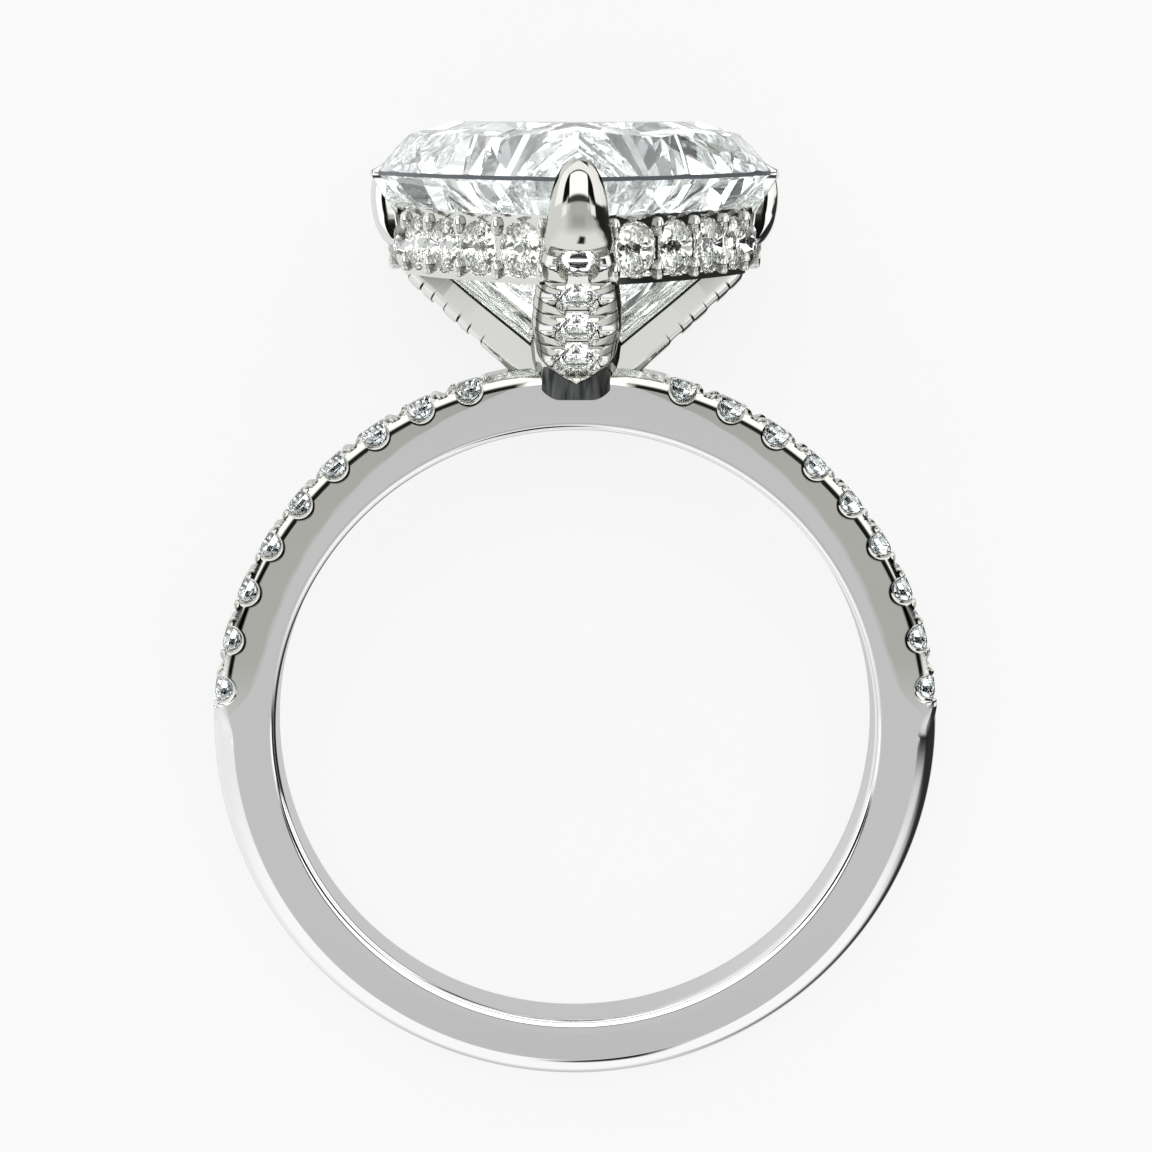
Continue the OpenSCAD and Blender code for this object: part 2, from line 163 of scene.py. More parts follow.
# A black line of painted shade along the shoulder's edge: where it starts, and where it fades.
PAINTED_LINE_FROM = 0.875
PAINTED_LINE_FADE = ((6, 10), (80, 86))  # turns between which the line fades in, and out


def smooth_min(a, b, k):
    """The lower of two heights, with the corner between them rounded over k."""
    h = np.clip(k - np.abs(a - b), 0, None) / k
    return np.minimum(a, b) - h * h * k / 4


def smooth_step(low, high, x):
    """0 below low, 1 above high, and an S between them."""
    t = np.clip((x - low) / (high - low), 0, 1)
    return t * t * (3 - 2 * t)


def polished_gold_with_painted_shade():
    """White gold, rhodium plated and mirror polished. Where the attribute of painted shade is 1
    the colour is painted a duller, warmer grey, painted shade for a darker reflection, and where it
    is
    2 it is painted black, painted shade for the dark reflections in edges, pits and cuts."""
    made = bpy.data.materials.new("polished_white_gold_painted_shade")
    made.use_nodes = True
    tree = made.node_tree
    shader = tree.nodes["Principled BSDF"]
    shader.inputs["Metallic"].default_value = 1.0
    shader.inputs["Roughness"].default_value = 0.07
    painted_shade = node(tree, "Attribute", {"attribute_name": "painted_shade"})
    share = node(tree, "Math", {"operation": "MULTIPLY", 1: 0.5}, {0: painted_shade.outputs["Fac"]})
    tones = node(tree, "ValToRGB", None, {"Fac": share.outputs[0]})
    stops = tones.color_ramp.elements
    stops[0].color, stops[1].color = linear("#eeeeee"), linear("#141414")
    stops.new(0.5).color = linear("#d3d3cd")
    tree.links.new(tones.outputs["Color"], shader.inputs["Base Color"])
    return made


GOLD = polished_gold_with_painted_shade()


def rail_height(side):
    """Bevel of a shoulder: a steep strip beside the side face, then a flatter one up to the top."""
    return np.interp(side, [RAIL_TOP, RAIL_KNEE[0], HALF_W], [CREST, RAIL_KNEE[1], RAIL_END])


def pit_share(a, side):
    """1 in the middle of the pit that is cut into the bevel beside a pair of beads, less the
    squares of both distances from there in half-sizes of the pit, so it is above 0 inside it."""
    return 1 - ((a - HALF_PITCH) / PIT_LONG) ** 2 - ((PIT_SIDE - side) / PIT_WIDE) ** 2


def shoulder_height(a, y):
    """Outer surface of a shoulder at distance a along it from a stone's axis and y across it: the
    bevelled rail, less the open scallop at the stone, the seat under its girdle, the pit under each
    pair of beads, the saddle that dips between two beads, and the groove along its middle."""
    side = np.abs(y)
    rail = rail_height(side)
    flare = np.clip((side - FLARE[0]) / FLARE[1], 0, 1) ** 1.5
    rad = SCALLOP[0] + (SCALLOP[1] - SCALLOP[0]) * flare
    scallop = np.where(a < rad, GIRDLE_R - np.sqrt(np.clip(rad ** 2 - a ** 2, 0, None)),
                       GIRDLE_R + (a - rad) * 4)
    rho = np.hypot(a, y)
    seat_r = STONE_D / 2 + SEAT_PLAY
    seat = np.where(rho < seat_r, GIRDLE_R - SEAT_LOW - (seat_r - rho) * SEAT_SLOPE,
                    GIRDLE_R - SEAT_LOW + (rho - seat_r) * 5)
    mid = np.clip(np.abs(a - HALF_PITCH) / (HALF_PITCH - BEAD_AT), 0, 1)
    saddle = CREST - SADDLE * (0.5 + 0.5 * np.cos(mid * np.pi))
    groove = CREST - GROOVE_DEEP * (1 - smooth_step(0.1, 0.4, side)) * smooth_step(0.45, 0.6, a)
    inside = pit_share(a, side)
    pit = np.where(inside > 0, PIT_TOP - PIT_DEEP * np.sqrt(np.clip(inside, 0, None)), CREST + 0.2)
    height = smooth_min(rail, saddle, 0.05)
    height = smooth_min(height, groove, 0.05)
    height = smooth_min(height, pit, 0.04)
    height = smooth_min(height, scallop, 0.03)
    return np.minimum(height, seat)


def shank():
    """Closed skin round the ring: at each angle the section runs along the finger hole, round its
    edge, up the side face, over the outside and back down the other side. Returns its points and
    how dark each is painted as shade."""
    # Angles round the ring: close together at each stone, wider between stones and on the dome.
    per_mm = 180 / math.pi / GIRDLE_R
    at_stone = SCALLOP[1] * np.sin(np.radians(np.linspace(-90, 90, 25)))
    between = np.linspace(SCALLOP[1], HALF_PITCH, 11)[1:]
    cell = np.concatenate([at_stone, between, -between[:-1]])
    stone_at = FIRST_ANGLE + STONE_STEP * np.arange(STONES)
    turns = np.sort((stone_at[:, None] + cell[None] * per_mm).ravel())
    ahead = np.linspace(0, turns[0] - 0.5, 10)
    after = np.concatenate([np.linspace(turns[-1] + 0.3, 92, 16), np.linspace(93.5, 180, 60)])
    right = np.concatenate([ahead, turns, after])
    angle = np.concatenate([-right[:0:-1], right[:-1]])
    turn = np.abs(angle)

    # Outside: the shoulder's relief up to its end, then the plain dome.
    edge_rows = np.concatenate([HALF_W - np.array([0, 0.01, 0.02, 0.035, 0.05]),
                                np.linspace(0.82, 0.55, 12)])
    rows = np.concatenate([-edge_rows, np.linspace(-0.52, 0.52, 25), edge_rows[::-1]])
    nearest = np.clip(np.round((turn - FIRST_ANGLE) / STONE_STEP), 0, STONES - 1)
    a = np.abs(turn - FIRST_ANGLE - nearest * STONE_STEP) / per_mm
    ends = ((turn < FIRST_ANGLE) | (turn > stone_at[-1]))[:, None]
    a_grid = np.broadcast_to(a[:, None], (len(turn), len(rows)))
    y_grid = np.broadcast_to(rows[None], a_grid.shape)
    cut = shoulder_height(np.minimum(a_grid, HALF_PITCH), y_grid)
    past = smooth_step(SCALLOP[1], SCALLOP[1] + 0.12, a)[:, None]
    height = np.where(ends, cut + (rail_height(np.abs(y_grid)) - cut) * past, cut)
    eased = np.clip((np.abs(y_grid) - HALF_W) / EASE_WIDE + 1, 0, 1)
    height = height - EASE_DEEP * eased ** 2
    dome_r = (HALF_W ** 2 + (CREST - FACE_END) ** 2) / (2 * (CREST - FACE_END))
    dome = CREST - dome_r + np.sqrt(dome_r ** 2 - y_grid ** 2)
    height = height + (dome - height) * smooth_step(*SHOULDER_END, turn)[:, None]

    # Side faces: flat up to the thinned zone, whose border is the table smoothed over 9 degrees.
    thin_from = np.mean([np.interp(np.abs(turn + d), THIN_TURN, THIN_R)
                         for d in np.linspace(-4.5, 4.5, 19)], axis=0)
    edge_r = height[:, 0]
    lean_in = THIN_LEAN * np.clip(edge_r - thin_from, 0, None)
    top_y = y_grid * ((HALF_W - lean_in) / HALF_W)[:, None]
    quarter = np.radians(np.linspace(0, 90, 8))
    bore_y = np.concatenate([np.linspace(0, HALF_W - ROUND_IN, 4)[:-1],
                             HALF_W - ROUND_IN + ROUND_IN * np.sin(quarter)])
    bore_r = np.concatenate([np.full(3, BORE), BORE + ROUND_IN * (1 - np.cos(quarter))])
    face_from = BORE + ROUND_IN
    knee = np.clip(thin_from, face_from + 0.05, edge_r - 0.01)
    low = face_from + (knee - face_from)[:, None] * np.linspace(0, 1, 6)[None, 1:]
    high = knee[:, None] + (edge_r - knee)[:, None] * np.array([[0.2, 0.4, 0.6, 0.8, 0.94]])
    face_r = np.hstack([low, high])
    face_y = HALF_W - THIN_LEAN * np.clip(face_r - thin_from[:, None], 0, None)

    ones = np.ones((len(turn), 1))
    front_y = np.hstack([-ones * bore_y[None], -face_y])
    front_r = np.hstack([ones * bore_r[None], face_r])
    all_y = np.hstack([front_y, top_y, -front_y[:, :0:-1]])
    all_r = np.hstack([front_r, height, front_r[:, :0:-1]])
    rad = np.radians(angle)[:, None]
    grid = np.stack([all_r * np.sin(rad), all_y, all_r * np.cos(rad)], -1)

    # Painted shade: 1, a duller grey, where the file has been, and 2, black, along the shoulder's
    # edge and in its pits.
    painted_shade = (all_r > thin_from[:, None] + 0.005) * (1 - smooth_step(*SHADE_FADE, turn))[:, None]
    in_pit = (pit_share(np.minimum(a_grid, HALF_PITCH), np.abs(y_grid)) > 0) & ~ends
    line = (np.abs(y_grid) > PAINTED_LINE_FROM) | in_pit
    fade_in, fade_out = PAINTED_LINE_FADE
    line = line * (smooth_step(*fade_in, turn) * (1 - smooth_step(*fade_out, turn)))[:, None]
    on_top = slice(front_r.shape[1], front_r.shape[1] + len(rows))
    painted_shade[:, on_top] = painted_shade[:, on_top] * (1 - line) + 2 * line
    return grid, painted_shade


shank_grid, shank_shade = shank()
shank_piece = surface("shank", shank_grid, GOLD, painted_shade=shank_shade.ravel())
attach(shank_piece, "root")
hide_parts("metal")


# Foot of the head. A block with round ends is soldered through the top of the shank, left dull
# and painted dark grey as the shade under the front prong, and on it stands a polished cup from
# which the five prongs grow.
BLOCK_HALF = 0.98  # half its width
BLOCK_DEEP = 1.42  # half its length along the finger
BLOCK_LOW = 9.13  # its underside
BLOCK_FLAT = 0.45  # half the width of its underside that is flat
BLOCK_LIFT = 0.26  # and how far its ends rise beyond that
CUP_Z = [9.2, 9.37, 9.77, 10.18, 10.6, 10.95]  # heights up the cup,
CUP_HALF = [0.82, 0.95, 1.14, 1.25, 1.3, 1.24]  # and half its width at each
CUP_MORE = 0.12  # how much deeper than wide it is, up to CUP_DEEP
CUP_DEEP = 1.3


def rounded_plan(half, deep, power, count):
    """Plan of a block with rounded corners: a superellipse with the half-sizes given."""
    t = np.linspace(0, 2 * np.pi, count, endpoint=False)
    c, s = np.cos(t), np.sin(t)
    return (np.sign(c) * np.abs(c) ** (2 / power) * half,
            np.sign(s) * np.abs(s) ** (2 / power) * deep)


def shade_painted_gold():
    """The same gold, left dull and painted a dark grey as shade, with fine upright streaks painted
    on as reflections of flat facets. The marks are 0.2 mm apart and 1.3 mm long, a little coarser
    than real ones so that they show."""
    made = bpy.data.materials.new("gold_painted_shade_streaks")
    made.use_nodes = True
    tree = made.node_tree
    shader = tree.nodes["Principled BSDF"]
    shader.inputs["Metallic"].default_value = 1.0
    shader.inputs["Roughness"].default_value = 0.3
    spot = node(tree, "TexCoord").outputs["Object"]
    flat = node(tree, "Mapping", {"Scale": (1, 0.15, 0.15)}, {"Vector": spot})
    painted_streaks = node(tree, "TexNoise", {"Scale": 5000.0, "Detail": 2.0},
                 {"Vector": flat.outputs["Vector"]})
    tones = node(tree, "ValToRGB", None, {"Fac": painted_streaks.outputs["Fac"]})
    dark, light = tones.color_ramp.elements
    dark.position, dark.color = 0.4, linear("#38393a")
    light.position, light.color = 0.62, linear("#686a69")
    tree.links.new(tones.outputs["Color"], shader.inputs["Base Color"])
    return made


SHADE_PAINTED_GOLD = shade_painted_gold()

block_x, block_y = rounded_plan(BLOCK_HALF, BLOCK_DEEP, 3.6, 72)
out_of_flat = np.clip((np.abs(block_x) - BLOCK_FLAT) / (BLOCK_HALF - BLOCK_FLAT), 0, 1)
lift = BLOCK_LIFT * out_of_flat ** 2
# Each level: the plan's size and the height, as shares. The first and last close the block.
levels = [(0.0, 0), (0.97, 0), (1, 0.03), (1, 0.5), (1, 1), (0.0, 1)]
block_rows = [np.stack([block_x * s, block_y * s,
                        BLOCK_LOW + lift + (CREST - BLOCK_LOW - lift) * h], -1)
              for s, h in levels]
block = surface("foot_block", np.array(block_rows), SHADE_PAINTED_GOLD, closed=(False, True), sharp=40)
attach(block, "root")
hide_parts("metal")

cup_z = np.linspace(CUP_Z[0], CUP_Z[-1], 26)
cup_half = np.interp(cup_z, CUP_Z, CUP_HALF)
cup_x, cup_y = rounded_plan(1, 1, 2.6, 96)
cup_rows = [np.stack([cup_x * h, cup_y * min(h + CUP_MORE, CUP_DEEP), np.full(96, z)], -1)
            for z, h in zip(cup_z, cup_half)]
cup_rows = [cup_rows[0] * [0, 0, 1]] + cup_rows + [cup_rows[-1] * [0, 0, 1]]
# The cup is painted a little grey as shade.
cup = surface("foot_cup", np.array(cup_rows), GOLD, closed=(False, True), painted_shade=0.2)
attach(cup, "root")
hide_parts("metal")


# Prongs. Five stems rise from the foot, widen a little, carry a row of small stones on the outside
# and bend upright into a bullet-shaped claw that is pressed over the heart's edge. The setter has
# sawn windows beside each stone and a notch between the two beads of each neighbouring pair.

# Outline of the heart stone: its point, the long arc of a flank and the round arc of a lobe.
TIP_OUT = 6.22
GIRDLE_Z = 15.19
LOBE_R = 3.0
LOBE_X = 2.45
flank_r, flank_x = 13.66, -7.79
flank_y = -TIP_OUT + math.sqrt(flank_r ** 2 - flank_x ** 2)
lobe_y = flank_y - math.sqrt((flank_r - LOBE_R) ** 2 - (LOBE_X - flank_x) ** 2)

CLAW_OUT = 0.13  # metal outside the heart's edge
CLAW_Z = 15.65  # top of the front claw
SIDE_CLAW_Z = 15.45  # and of the other four
TIP_DEEP = 0.5  # how far a claw's rounded tip leans in over the heart
HEEL_Z = 13.1  # where the stem ends and the claw begins
SLOPE = 39.0  # of the stems, in degrees
BEND = 2.6  # radius of the bend from the slope to upright
LINE_AT = (3.5, 11.16)  # a point on each stem's outer line
ROW_BACK = 0.58  # how far the stem stays inside the claw's face
END_R = 0.86  # length of the front prong's rounded lower end

# Each prong: turn from the eye's side, and its row of stones, as the distance of the lowest one
# from the middle, how many there are, and the way from one to the next.
PRONGS = {
    "front_prong": (0, (2.22, 4, 1.42)),
    "left_prong": (-110, (2.72, 3, 1.37)),
    "right_prong": (110, (2.72, 3, 1.37)),
    "left_lobe_prong": (-150, (2.3, 4, 1.38)),
    "right_lobe_prong": (150, (2.3, 4, 1.38)),
}
PRONG_D, PRONG_D_TOP = 1.24, 1.06  # width of the lowest stone, and of the highest
GIRDLE_SHARE = 0.15  # height of a stone's crown, as a share of its width
PRONG_PLAY = 0.015  # room round a girdle
BEAD_H = 0.15  # how far the stem's outer line stands above the stones' flat tops
WINDOW_SHARE, WINDOW_DEEP = 0.23, 0.17  # half-length as a share of a stone's width, and depth
NOTCH_R = 0.13  # radius of a notch
CUT_LOW = 0.05  # windows and notches start this far under the surface
# Half-widths of the black lines of painted shade at the windows' edges and on the notches' floors.
WINDOW_SHADE_LINE, NOTCH_SHADE_LINE = 0.1, 0.03  # half-widths of the black lines in them
# A black seam of painted shade on the stem's side, as shares of the way to its back.
SHADE_SEAM = (0.81, 0.89)  # black seam on the stem's side, as shares of the way to its back


def claw_reach(turn):
    """Distance of a claw's face from the middle: the heart's edge in that direction and a wall."""
    if turn == 0:
        return TIP_OUT + CLAW_OUT
    way = np.array([math.sin(math.radians(turn)), -math.cos(math.radians(turn))])
    centre = np.array([math.copysign(LOBE_X, turn), lobe_y])
    along = way @ centre
    return along + math.sqrt(along ** 2 - centre @ centre + LOBE_R ** 2) + CLAW_OUT


def stem_line(reach, s, start):
    """Outer line of a stem: distance, height and slope at length s from the distance start. It
    climbs straight at the slope and then bends upright on an arc."""
    slope = math.radians(SLOPE)
    bend_r = reach - ROW_BACK - BEND * (1 - math.sin(slope))
    bend_z = LINE_AT[1] + math.tan(slope) * (bend_r - LINE_AT[0]) + BEND * math.cos(slope)
    straight = (bend_r - start) / math.cos(slope)
    arc = slope + np.clip(s - straight, 0, None) / BEND
    line_r = start + s * math.cos(slope)
    line_z = LINE_AT[1] + math.tan(slope) * (line_r - LINE_AT[0])
    r = np.where(s < straight, line_r, reach - ROW_BACK - BEND * (1 - np.sin(arc)))
    z = np.where(s < straight, line_z, bend_z - BEND * np.cos(arc))
    return r, z, np.where(s < straight, slope, arc)


def even_points(path, count):
    """Points at even steps along the line through given corners, from its first to its last."""
    run = np.concatenate([[0], np.cumsum(np.linalg.norm(np.diff(path, axis=0), axis=1))])
    at = np.linspace(0, run[-1], count)
    return np.stack([np.interp(at, run, path[:, k]) for k in (0, 1)], -1)


def prong(turn, row):
    """Skin of a prong: at each station up the stem a section runs across the outside, which is
    rounded and cut back for stones, windows and notches, then down the sides and across the back.
    The prong is painted a duller grey as shade, the front one more than the others, but the
    windows' floors keep the bright polished tone, and their edges, the notches' floors and a seam
    along the inside of a stem are painted black lines of shade. Returns its points and how dark
    each is painted."""
    reach = claw_reach(turn)
    start, count, pitch = row
    front = turn == 0
    claw_z = CLAW_Z if front else SIDE_CLAW_Z

    # Outer line: the stem up to the heel, then the claw's face and its rounded tip, eased.
    low_s = -END_R if front else (1.1 - start) / math.cos(math.radians(SLOPE))
    fine = np.linspace(low_s, 9, 4000)
    r, z, slope = stem_line(reach, fine, start)
    top_s = fine[np.searchsorted(z, HEEL_Z)]
    foot_share = np.sin(np.radians(np.linspace(0, 90, 24))) ** 2
    stem_s = np.concatenate([low_s + (-0.6 - low_s) * foot_share,
                             np.linspace(-0.6, top_s, 250)[1:]])
    r, z, slope = stem_line(reach, stem_s, start)
    normal = np.stack([np.sin(slope), -np.cos(slope)], -1)
    outer = np.stack([r, z], -1)
    foot_r = outer[-1, 0]
    heel = np.array([[foot_r + 0.06, HEEL_Z + 0.02],
                     [(foot_r + reach - 0.33) / 2 + 0.05, HEEL_Z + 0.17],
                     [reach - 0.33, 13.43], [reach - 0.23, 13.58], [reach - 0.14, 13.76],
                     [reach - 0.07, 14.0], [reach - 0.02, 14.25], [reach, 14.5],
                     [reach, claw_z - 0.9]])
    quarter = np.linspace(0, np.pi / 2, 18)
    tip = np.stack([reach - TIP_DEEP * (1 - np.cos(quarter)),
                    claw_z - 0.85 * (1 - np.sin(quarter))], -1)
    claw = even_points(np.vstack([outer[-1], heel, tip]), 60)
    outer = np.vstack([outer, claw[1:]])
    stations = len(outer)
    bent = len(stem_s) + 6
    for _ in range(12):
        outer[bent:-3] = outer[bent:-3] / 2 + (outer[bent - 1:-4] + outer[bent + 1:-2]) / 4

    # Inner line: up the basket's inside, under the heart's edge, round it and over its crown. Each
    # station finds its point there straight across from the outer line.
    edge = reach - CLAW_OUT
    back = np.array([[0.5, 10.4], [1.04, 10.8], [2.6, 11.95], [3.6, 12.72], [4.3, 13.2],
                     [4.75, 13.5], [edge - 0.9, 14.05], [edge + 0.015, GIRDLE_Z - 0.13],
                     [edge + 0.015, GIRDLE_Z + 0.01], [edge - 0.42, claw_z - 0.02]])
    back = even_points(back, 700)
    blend = smooth_step(0, 1, (np.arange(stations) - len(stem_s)) / 30.0)[:, None]
    stem_in = np.vstack([-normal, np.broadcast_to(-normal[-1], (stations - len(stem_s), 2))])
    inward = stem_in * (1 - blend) + np.array([-1.0, 0.0]) * blend
    gap = back[None] - outer[:, None]
    off = np.abs(gap[..., 0] * inward[:, None, 1] - gap[..., 1] * inward[:, None, 0])
    off = off + np.where((gap * inward[:, None]).sum(-1) < 0, 9, 0)
    inner = back[np.maximum.accumulate(off.argmin(1))]

    # Half the width, and how far the outside bulges, at each height.
    z = outer[:, 1]
    rise = np.clip((z - 14.4) / (claw_z - 14.4), 0, 1)
    width = [1.05, 1.1, 1.19, 1.16, 0.92, 0.76] if front else [0.98, 1.0, 1.02, 1.02, 1.0, 0.76]
    half = np.interp(z, [9.9, 10.3, 10.8, 11.4, 13.2, 14.4], width)
    half = half * np.clip(1 - rise ** 1.2, 0.001, 1) ** 0.36
    swell = [0.62, 0.5, 0.62, 0.74, 0.7, 0.4] if front else [0.4, 0.4, 0.55, 0.7, 0.66, 0.4]
    bulge = np.interp(z, [9.5, 12.6, 13.4, 14.0, 14.8, claw_z], swell)
    s = np.concatenate([stem_s, np.full(stations - len(stem_s), 99.0)])[:, None]
    if front:
        to_end = np.clip(-s[:, 0] / END_R, 0, 1)
        half = half * np.clip(1 - to_end ** 2.2, 0.002, 1) ** 0.55
        bulge = bulge * np.sqrt(np.clip(1 - to_end ** 4, 0.05, 1))

    # Outside: how deep each point lies under the outer line, cut by cut.
    phi = np.radians(np.linspace(-90, 90, 77))
    x = half[:, None] * np.sin(phi)[None]
    depth = bulge[:, None] * (1 - np.cos(phi))[None]
    floors = []
    lines = []
    for i in range(count):
        d = PRONG_D + (PRONG_D_TOP - PRONG_D) * i / (count - 1)
        along = s - i * pitch
        seat_r = d / 2 + PRONG_PLAY
        rho = np.hypot(along, x)
        girdle = BEAD_H + GIRDLE_SHARE * d
        seat = np.where(rho < seat_r, girdle + SEAT_LOW + (seat_r - rho) * SEAT_SLOPE,
                        girdle + SEAT_LOW - (rho - seat_r) * 5)
        window_r = WINDOW_SHARE * d
        droop = window_r * (1.25 - 0.55 * np.abs(x) / half[:, None])
        off_mid = np.where(along < 0, -along / droop, along / window_r)
        hollow = np.sqrt(np.clip(1 - off_mid ** 4, 0, None))
        window = np.where(off_mid < 1, CUT_LOW + WINDOW_DEEP * hollow,
                          CUT_LOW - (off_mid - 1) * window_r * 5)
        floors.append(np.where(off_mid < 1, window, 9))
        lines.append(np.abs(off_mid - 1) < WINDOW_SHADE_LINE)
        depth = -smooth_min(-depth, -window, 0.07)
        if i < count - 1:
            depth = np.maximum(depth, seat)
    for i in range(count - 1):
        along = np.abs(s - (i + 0.5) * pitch)
        hollow = np.sqrt(np.clip(NOTCH_R ** 2 - along ** 2, 0, None))
        notch = np.where(along < NOTCH_R, CUT_LOW + hollow, CUT_LOW - (along - NOTCH_R) * 4)
        depth = -smooth_min(-depth, -notch, 0.06)
        lines.append(np.broadcast_to(along < NOTCH_SHADE_LINE, x.shape))
        channel = 0.3 - np.clip(np.abs(x) - 0.28, 0, None) * 5 - np.clip(along - 0.3, 0, None) * 5
        depth = np.maximum(depth, channel)

    # The highest stone stands where the stem bends, so its seat is measured along its own axis.
    last_s = np.array([(count - 1) * pitch])
    last_r, last_z, last_slope = (float(v[0]) for v in stem_line(reach, last_s, start))
    rise_way = np.array([math.cos(last_slope), math.sin(last_slope)])
    out_way = np.array([math.sin(last_slope), -math.cos(last_slope)])
    from_last = outer - [last_r, last_z]
    rho = np.hypot((from_last @ rise_way)[:, None], x)
    bed = BEAD_H + GIRDLE_SHARE * PRONG_D_TOP + SEAT_LOW + (from_last @ out_way)[:, None]
    bed = bed / (-inward @ out_way)[:, None]
    seat_r = PRONG_D_TOP / 2 + PRONG_PLAY
    last_seat = np.where(rho < seat_r, bed + (seat_r - rho) * SEAT_SLOPE, bed - (rho - seat_r) * 8)
    depth = np.maximum(depth, last_seat)
    skin = outer[:, None] + depth[..., None] * inward[:, None]
    in_window = np.any([np.abs(depth - f) < 0.05 for f in floors], axis=0)

    # Sides and back. On the front prong both follow the heart's point, between its two flanks.
    flank = skin[:, -1]
    share = np.array([0.2, 0.45, 0.7, 0.8, 0.82, 0.88, 0.9, 0.95, 1.0])
    side = flank[:, None] + (inner - flank)[:, None] * share[None, :, None]
    side_x = half[:, None] * np.array([1, 1, 1, 1, 1, 0.99, 0.985, 0.95, 0.86])[None]
    across = np.array([0.6, 0.3, 0.0, -0.3, -0.6])
    back_x = half[:, None] * across[None]
    crown = 0.06 * (1 - across ** 2)
    away = inner - flank
    away = away / np.linalg.norm(away, axis=1)[:, None]
    back_face = inner[:, None] + away[:, None] * crown[None, :, None]
    if front:
        level = smooth_step(14.4, GIRDLE_Z - 0.1, inner[:, 1])[:, None]
        for part, part_x, near in ((side, side_x, share[None] ** 3), (back_face, back_x, 1.0)):
            point = (np.sqrt(flank_r ** 2 - flank_x ** 2)
                     - np.sqrt(flank_r ** 2 - (np.abs(part_x) - flank_x) ** 2))
            part[..., 0] -= point * level * near
    loop_rz = np.concatenate([skin, side, back_face, side[:, ::-1]], 1)
    loop_x = np.concatenate([x, side_x, back_x, -side_x[:, ::-1]], 1)

    grid = np.stack([loop_x, -loop_rz[..., 0], loop_rz[..., 1]], -1)
    # Painted shade: duller grey on the whole prong, the bright polished tone in the windows, black
    # lines at their edges, in the notches and along the seam.
    painted_shade = np.full(grid.shape[:2], 1.0 if front else 0.5)
    painted_shade[:, :len(phi)][in_window] = 0.0
    painted_shade[:, :len(phi)][np.any(lines, axis=0)] = 2.0
    if not front:
        seam = (share > SHADE_SEAM[0]) & (share < SHADE_SEAM[1])
        columns = np.concatenate([np.zeros(len(phi), bool), seam,
                                  np.zeros(len(across), bool), seam[::-1]])
        painted_shade[np.ix_(z < HEEL_Z, columns)] = 2.0
    ends = [np.broadcast_to(grid[k].mean(0), grid[k].shape)[None] for k in (0, -1)]
    grid = np.concatenate([ends[0], grid, ends[1]])
    painted_shade = np.vstack([painted_shade[:1], painted_shade, painted_shade[-1:]])
    c, t = math.cos(math.radians(turn)), math.sin(math.radians(turn))
    return grid @ np.array([[c, t, 0], [-t, c, 0], [0, 0, 1]]), painted_shade


for prong_name, (prong_turn, prong_row) in PRONGS.items():
    prong_grid, prong_shade = prong(prong_turn, prong_row)
    stem = surface(prong_name, prong_grid, GOLD, closed=(False, True), sharp=38,
                   painted_shade=prong_shade.ravel())
    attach(stem, "root")
    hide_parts("metal")


# Hidden halo. A narrow band of the same gold follows the heart's outline below its girdle. Round
# stones stand in it side by side, raised beads above and below hold each pair, and between beads
# and rim the graver has left bright triangular cuts.
BAND_LOW, BAND_HIGH = 12.42, 14.2
BAND_IN, BAND_T = 0.45, 0.45  # how far inside the heart's edge it stays, and how thick it is
HALO_D = 1.43  # width of a stone
HALO_PITCH = 1.63  # way from one stone to the next
HALO_FIRST = -45.3  # direction of the first, in degrees from the flank's centre
HALO_Z = (BAND_LOW + BAND_HIGH) / 2
LIP, LIP_LEAN = 0.2, 0.14  # plain lip along the band's foot, and the slope at which it leans in
CUT_SLOPE, CUT_DEEP = 0.6, 0.11  # bright cuts
join_dir = math.degrees(math.atan2(lobe_y - flank_y, LOBE_X - flank_x))
halo_step = math.degrees(HALO_PITCH / (flank_r - BAND_IN))
HALO_DIRS = [HALO_FIRST + i * halo_step for i in range(5)] + [49.5, 122]
BEAD_DIRS = [HALO_FIRST + (i - 0.5) * halo_step for i in range(5)] + [-12.5, 31, 65, 103, 141]
BEAD_RISE = 0.56  # of a bead's middle above or below the band's
BEAD_OUT = np.array([-0.1, 0.06, 0.13, 0.165, 0.185, 0.19])  # profile of a bead: how far out,
BEAD_SHARE = np.array([1, 1, 0.93, 0.72, 0.4, 0.0])  # and its width there as a share
BEAD_ACROSS, BEAD_UP = 0.12, 0.25  # half-sizes of its oval
BEAD_SIDES = 20


def heart_edge(direction, inset):
    """Point of the right half of the heart's outline that faces a direction, moved in by inset: on
    the flank's arc up to the join, and on the lobe's arc after it."""
    way = np.radians(direction)
    flank = direction < join_dir
    rad = np.where(flank, flank_r, LOBE_R) - inset
    return (np.where(flank, flank_x, LOBE_X) + rad * np.cos(way),
            np.where(flank, flank_y, lobe_y) + rad * np.sin(way))


